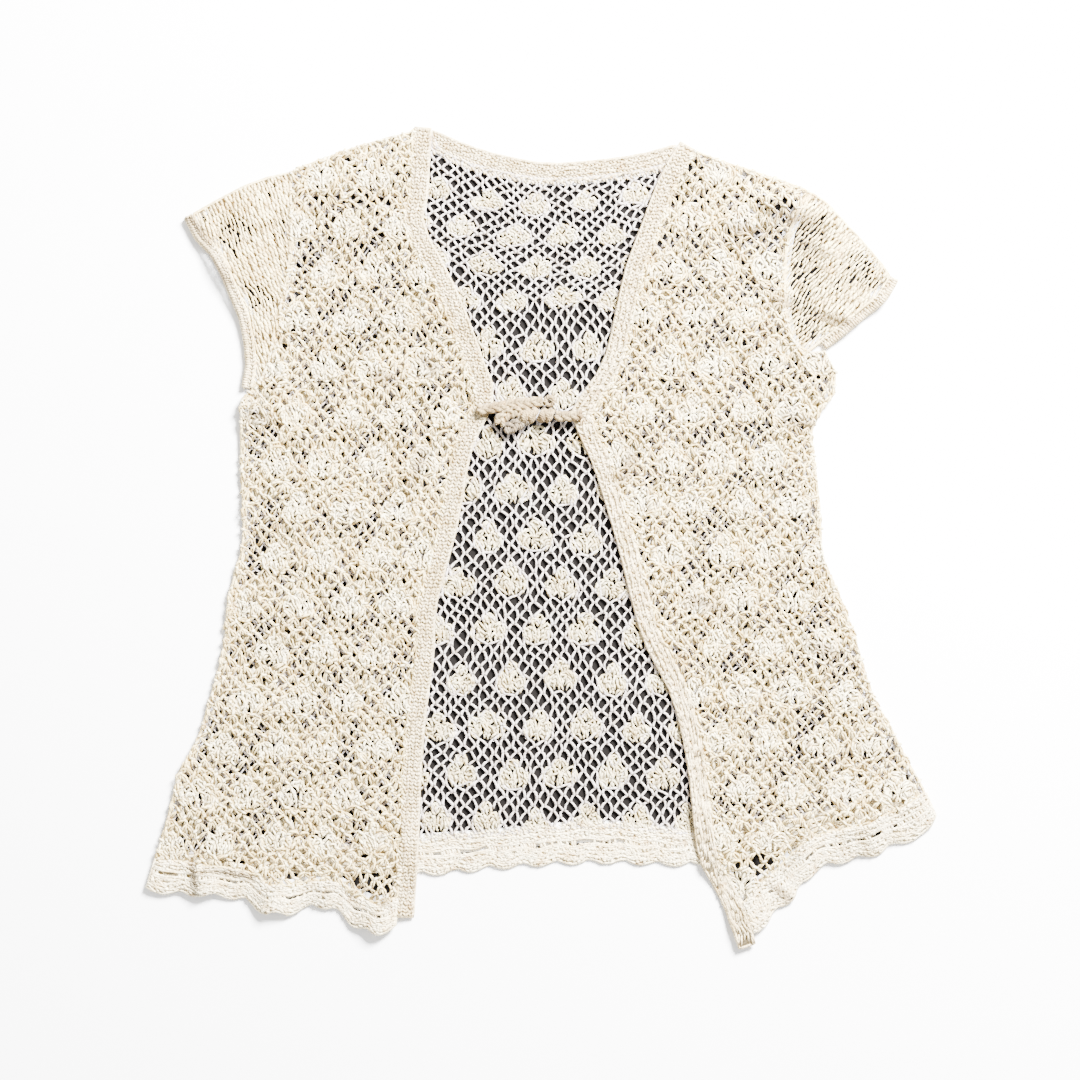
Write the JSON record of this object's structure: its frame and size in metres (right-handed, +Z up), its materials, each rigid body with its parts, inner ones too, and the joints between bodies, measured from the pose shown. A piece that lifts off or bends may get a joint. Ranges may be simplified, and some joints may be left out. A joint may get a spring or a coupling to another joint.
{
  "type": "crocheted cap-sleeve cover-up laid flat",
  "caption": "Open-front crocheted lace cover-up with cap sleeves, ribbed bands, a scalloped hem and a short front tie, laid flat on a surface.",
  "frame": {"origin": "on the surface it lies on, under the middle of the garment's outline", "axes": "+X across the garment to the wearer's left front as seen from above, +Y from hem to neck, +Z up from the surface"},
  "size_m": [0.63, 0.6556, 0.0129],
  "materials": {
    "front_lace": "matte crocheted cotton",
    "back_lace": "matte crocheted cotton, wrong side",
    "band": "matte ribbed crochet rows",
    "hem": "matte crocheted shells",
    "tie": "matte twisted crochet cord"
  },
  "bodies": {
    "root": {"back_panel": "back_lace", "front_left": "front_lace", "front_right": "front_lace", "sleeve_left_upper": "front_lace", "sleeve_left_lower": "front_lace", "sleeve_right_upper": "front_lace", "sleeve_right_lower": "front_lace", "band_left": "band", "band_right": "band", "band_neck": "band", "cuff_left_upper": "band", "cuff_left_lower": "band", "cuff_right_upper": "band", "cuff_right_lower": "band", "hem_front_left": "hem", "hem_front_right": "hem", "hem_back": "hem", "tie_cord_left": "tie", "tie_cord_right": "tie", "tie_knot": "tie", "tie_knot_side": "tie", "tie_end_long": "tie", "tie_end_short": "tie", "tie_loop": "tie"}
  },
  "joints": []
}
